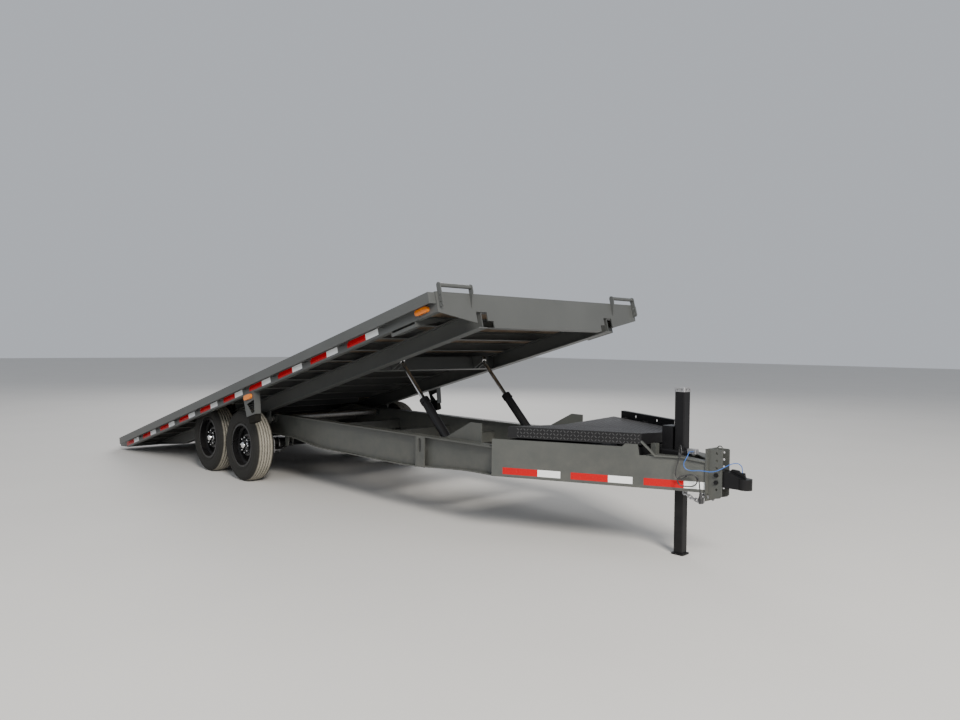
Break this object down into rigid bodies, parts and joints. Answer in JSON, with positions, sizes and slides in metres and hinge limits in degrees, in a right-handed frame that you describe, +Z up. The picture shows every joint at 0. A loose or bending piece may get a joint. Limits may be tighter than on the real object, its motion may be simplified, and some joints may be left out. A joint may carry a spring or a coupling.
{
  "type": "tilt equipment trailer",
  "caption": "Deck-over tandem-axle equipment trailer with a full-length tilting wood deck, hydraulic cylinders, tool box, drop-leg jack and ball coupler",
  "frame": {"origin": "on the ground, at the middle of the trailer's length and width", "axes": "+X forward to the coupler, +Y to the left, +Z up"},
  "size_m": [8.6145, 2.5908, 1.9584],
  "materials": {
    "frame_paint": "semi-gloss warm grey",
    "deck_paint": "semi-gloss warm grey",
    "wheel_paint": "gloss black",
    "black_paint": "satin black",
    "tread_plate": "satin black",
    "tyre": "matt",
    "planks": "sawn, weathered",
    "bright_steel": "plain steel",
    "chrome": "polished",
    "rubber": "matt",
    "zinc": "zinc plated",
    "cord_black": "satin",
    "cord_blue": "satin",
    "amber_lens": "clear gloss",
    "red_lens": "clear gloss"
  },
  "bodies": {
    "frame": {"rail_right": "frame_paint", "rail_left": "frame_paint", "frame_cross_tubes": "frame_paint", "frame_guides": "frame_paint", "cylinder_feet": "frame_paint", "tongue_right": "frame_paint", "tongue_left": "frame_paint", "tongue_cross_plates": "frame_paint", "box_angle": "black_paint", "tool_box": "black_paint", "jack_tube": "black_paint", "coupler_channel": "frame_paint", "coupler": "black_paint", "pivot_shaft": "bright_steel", "axle_front": "black_paint", "axle_rear": "black_paint", "leaf_springs": "black_paint", "spring_hangers": "frame_paint", "jack_cap": "zinc", "power_unit": "black_paint", "u_bolts": "zinc", "safety_chains": "zinc", "trailer_cord": "cord_black", "trailer_plug": "cord_black", "cord_gland": "cord_black", "breakaway_cable": "cord_blue", "breakaway_switch": "zinc"},
    "deck": {"deck_beam_right": "deck_paint", "deck_beam_left": "deck_paint", "deck_cross_members": "deck_paint", "side_channel_right": "deck_paint", "side_channel_left": "deck_paint", "stake_pockets_right": "deck_paint", "stake_pockets_left": "deck_paint", "rub_rail_right": "deck_paint", "rub_rail_left": "deck_paint", "floor_planks": "planks", "wheel_covers": "deck_paint", "header": "deck_paint", "tie_hoops": "deck_paint", "tail_section": "deck_paint", "side_steps": "deck_paint", "marker_brackets": "deck_paint", "rubber_blocks": "rubber", "amber_lamps": "amber_lens", "red_lamps": "red_lens"},
    "lid": {"tool_box_lid": "tread_plate"},
    "jack_leg_body": {"jack_leg": "black_paint"},
    "barrel_right": {"cylinder_barrel_right": "black_paint"},
    "rod_right": {"cylinder_rod_right": "chrome"},
    "barrel_left": {"cylinder_barrel_left": "black_paint"},
    "rod_left": {"cylinder_rod_left": "chrome"},
    "wheel_front_right": {"tyre_front_right": "tyre", "rim_front_right": "wheel_paint"},
    "wheel_front_left": {"tyre_front_left": "tyre", "rim_front_left": "wheel_paint"},
    "wheel_rear_right": {"tyre_rear_right": "tyre", "rim_rear_right": "wheel_paint"},
    "wheel_rear_left": {"tyre_rear_left": "tyre", "rim_rear_left": "wheel_paint"}
  },
  "joints": [
    {"name": "deck_tilt", "type": "hinge", "parent": "frame", "child": "deck", "pos_m": [-0.91634, 0, 0.66], "axis": [0, 1, 0], "range_deg": [0, 14.62]},
    {"name": "lid_hinge", "type": "hinge", "parent": "frame", "child": "lid", "pos_m": [3.09914, 0.47633, 0.877], "axis": [-0.9064, 0.4224, 0], "range_deg": [0, 80]},
    {"name": "jack_slide", "type": "slide", "parent": "frame", "child": "jack_leg_body", "axis": [0, 0, 1], "range_m": [0, 0.38]},
    {"name": "barrel_right_swing", "type": "hinge", "parent": "frame", "child": "barrel_right", "pos_m": [1.88866, -0.52, 0.577], "axis": [0, 1, 0], "range_deg": [-25.8, 0.2]},
    {"name": "rod_right_slide", "type": "slide", "parent": "barrel_right", "child": "rod_right", "axis": [-0.7081, 0, 0.7061], "range_m": [-0.386, 0.001]},
    {"name": "barrel_left_swing", "type": "hinge", "parent": "frame", "child": "barrel_left", "pos_m": [1.88866, 0.52, 0.577], "axis": [0, 1, 0], "range_deg": [-25.8, 0.2]},
    {"name": "rod_left_slide", "type": "slide", "parent": "barrel_left", "child": "rod_left", "axis": [-0.7081, 0, 0.7061], "range_m": [-0.386, 0.001]},
    {"name": "wheel_front_right_spin", "type": "hinge", "parent": "frame", "child": "wheel_front_right", "pos_m": [-0.95864, -0.98, 0.3835], "axis": [0, 1, 0], "continuous": true},
    {"name": "wheel_front_left_spin", "type": "hinge", "parent": "frame", "child": "wheel_front_left", "pos_m": [-0.95864, 0.98, 0.3835], "axis": [0, 1, 0], "continuous": true},
    {"name": "wheel_rear_right_spin", "type": "hinge", "parent": "frame", "child": "wheel_rear_right", "pos_m": [-1.80404, -0.98, 0.3835], "axis": [0, 1, 0], "continuous": true},
    {"name": "wheel_rear_left_spin", "type": "hinge", "parent": "frame", "child": "wheel_rear_left", "pos_m": [-1.80404, 0.98, 0.3835], "axis": [0, 1, 0], "continuous": true}
  ],
  "couplings": [
    {"joint": "barrel_right_swing", "follows": "deck_tilt", "ratio": -1.7534},
    {"joint": "rod_right_slide", "follows": "deck_tilt", "m_per_rad": -1.5087},
    {"joint": "barrel_left_swing", "follows": "deck_tilt", "ratio": -1.7534},
    {"joint": "rod_left_slide", "follows": "deck_tilt", "m_per_rad": -1.5087}
  ]
}
